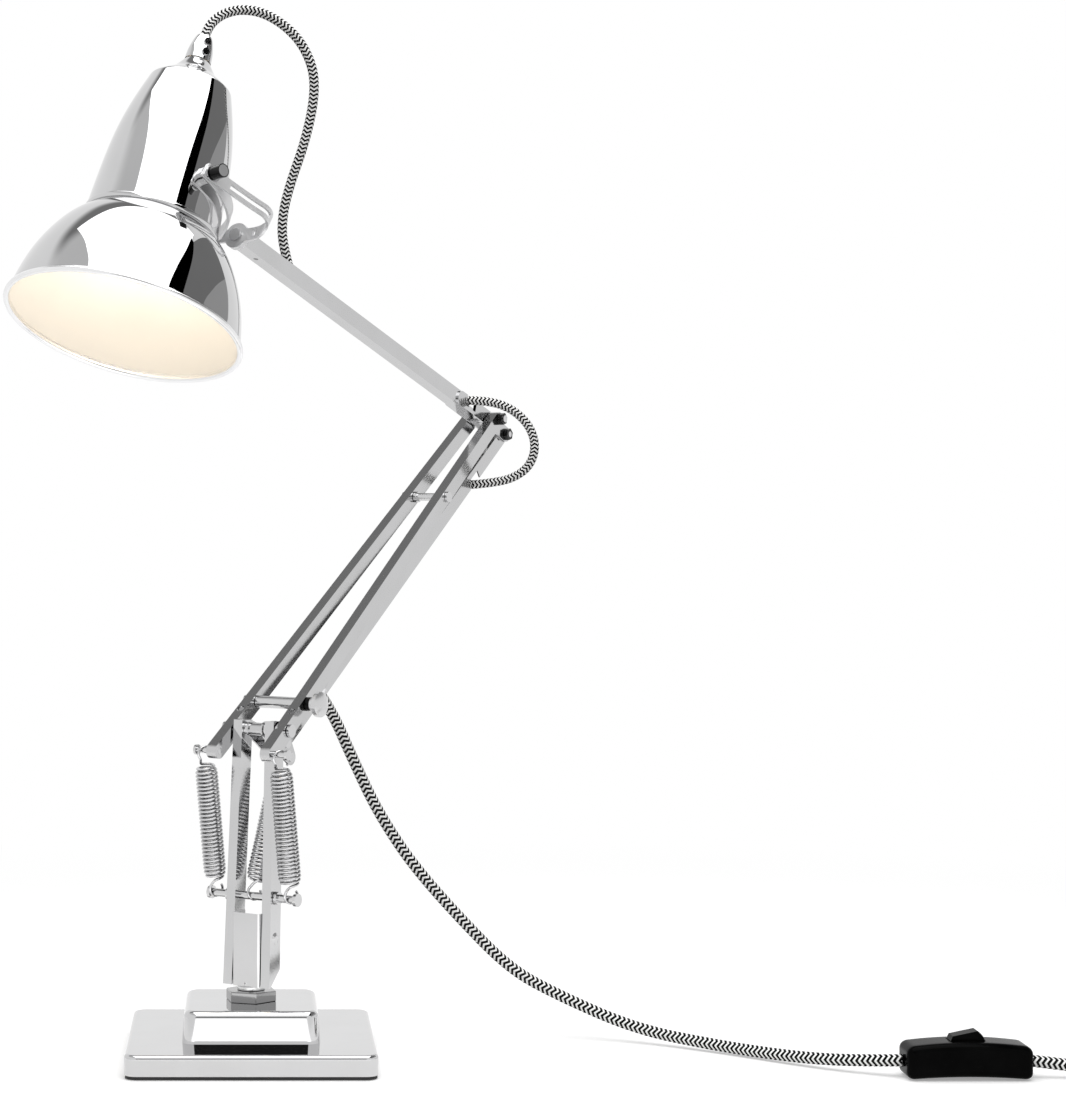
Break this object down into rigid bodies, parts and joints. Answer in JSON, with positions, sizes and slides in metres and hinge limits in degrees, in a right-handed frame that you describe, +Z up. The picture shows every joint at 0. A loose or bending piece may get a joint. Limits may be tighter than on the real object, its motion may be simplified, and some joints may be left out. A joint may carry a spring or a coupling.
{
  "type": "adjustable desk lamp",
  "caption": "Sprung desk lamp with a square stepped base, a parallel-linkage arm, a tilting bell shade, a braided cord, an in-line switch and a plug.",
  "frame": {"origin": "middle of the base's underside", "axes": "+Z up along the base swivel; +X along the base's side towards the cord's switch; the arm reaches back and to the right, the shade forward and to the left"},
  "size_m": [0.7878, 0.3805, 0.648],
  "materials": {
    "chrome": "polished",
    "pad": "matt",
    "iron": "matt",
    "steel": "satin",
    "black": "glossy",
    "holder": "matt",
    "bulb": "frosted",
    "braid": "black and white braid"
  },
  "bodies": {
    "base": {"base_pad": "pad", "base_plate": "chrome", "base_weight": "iron", "base_step": "chrome", "base_bush": "chrome", "base_hex_nut": "chrome", "mains_floor": "braid", "mains_tail": "braid", "mains_coil": "braid", "coil_tie": "black", "plug_lead": "braid", "mains_plug": "black", "switch_body": "black"},
    "fork": {"fork_spindle": "chrome", "spindle_lock_nut": "chrome", "fork_plate": "chrome", "fork_uprights": "chrome", "fork_screws": "chrome", "fork_spring_rod": "chrome", "fork_pivot_pin": "chrome", "pivot_washers": "chrome", "outer_springs": "chrome", "middle_spring": "chrome"},
    "lower_arm": {"lower_bar_left": "chrome", "lower_bar_right": "chrome", "spring_tail_pins": "chrome", "clamp_rod": "chrome", "clamp_sleeve": "black", "cross_rod": "chrome", "cord_clip": "chrome", "clip_screw": "chrome", "elbow_pin": "chrome", "elbow_nut": "chrome", "mains_drop": "braid"},
    "clamp_knob": {"clamp_knob": "chrome"},
    "crank": {"bell_crank": "chrome", "crank_pins": "chrome"},
    "upper_arm": {"upper_arm_channel": "chrome", "elbow_cheeks": "chrome", "elbow_link_pin": "chrome", "elbow_link_nut": "chrome", "arm_end_plug": "steel", "arm_grub_screw": "chrome", "head_rivet": "chrome", "upper_flex": "braid", "elbow_flex": "braid", "head_flex": "braid"},
    "link": {"link_bar": "chrome", "link_flex": "braid"},
    "head_bracket": {"head_bracket": "chrome"},
    "shade": {"shade_bell": "chrome", "shade_body": "chrome", "tilt_stud": "chrome", "stud_washers": "chrome", "stud_knob": "chrome", "shade_cap": "chrome", "cap_screws": "chrome", "lamp_holder": "holder", "lamp_bulb": "bulb"},
    "switch_rocker": {"switch_rocker": "black"}
  },
  "joints": [
    {"name": "base_swivel", "type": "hinge", "parent": "base", "child": "fork", "pos_m": [0, 0, 0.042], "axis": [0, 0, 1], "range_deg": [-160, 160]},
    {"name": "lower_arm_pivot", "type": "hinge", "parent": "fork", "child": "lower_arm", "pos_m": [0.00459, 0.00655, 0.199], "axis": [-0.8192, 0.5736, 0], "range_deg": [-50, 20], "deforming": ["outer_springs", "middle_spring", "mains_drop"]},
    {"name": "clamp_knob_turn", "type": "hinge", "parent": "lower_arm", "child": "clamp_knob", "pos_m": [0.01668, 0.02383, 0.21421], "axis": [0.8192, -0.5736, 0], "range_deg": [-180, 180]},
    {"name": "elbow", "type": "hinge", "parent": "lower_arm", "child": "upper_arm", "pos_m": [0.16183, 0.23111, 0.39672], "axis": [-0.8192, 0.5736, 0], "range_deg": [-25, 85], "deforming": ["middle_spring", "elbow_flex"]},
    {"name": "crank_pivot", "type": "hinge", "parent": "lower_arm", "child": "crank", "pos_m": [0.00459, 0.00655, 0.199], "axis": [-0.8192, 0.5736, 0], "range_deg": [-25, 85]},
    {"name": "link_pivot", "type": "hinge", "parent": "upper_arm", "child": "link", "pos_m": [0.17485, 0.24971, 0.38662], "axis": [-0.8192, 0.5736, 0], "range_deg": [-85, 25]},
    {"name": "head_swivel", "type": "hinge", "parent": "upper_arm", "child": "head_bracket", "pos_m": [-0.00707, -0.0101, 0.49984], "axis": [-0.5413, -0.7731, 0.3305], "range_deg": [-60, 60], "deforming": ["head_flex"]},
    {"name": "shade_tilt", "type": "hinge", "parent": "head_bracket", "child": "shade", "pos_m": [-0.05416, -0.02243, 0.52812], "axis": [0.6559, -0.7473, 0.1065], "range_deg": [-34, 5], "deforming": ["head_flex"]},
    {"name": "switch_press", "type": "hinge", "parent": "base", "child": "switch_rocker", "pos_m": [0.4215, -0.064, 0.019], "axis": [0, 1, 0], "range_deg": [0, 24]}
  ],
  "couplings": [
    {"joint": "crank_pivot", "follows": "elbow", "ratio": 1},
    {"joint": "link_pivot", "follows": "elbow", "ratio": -1}
  ]
}
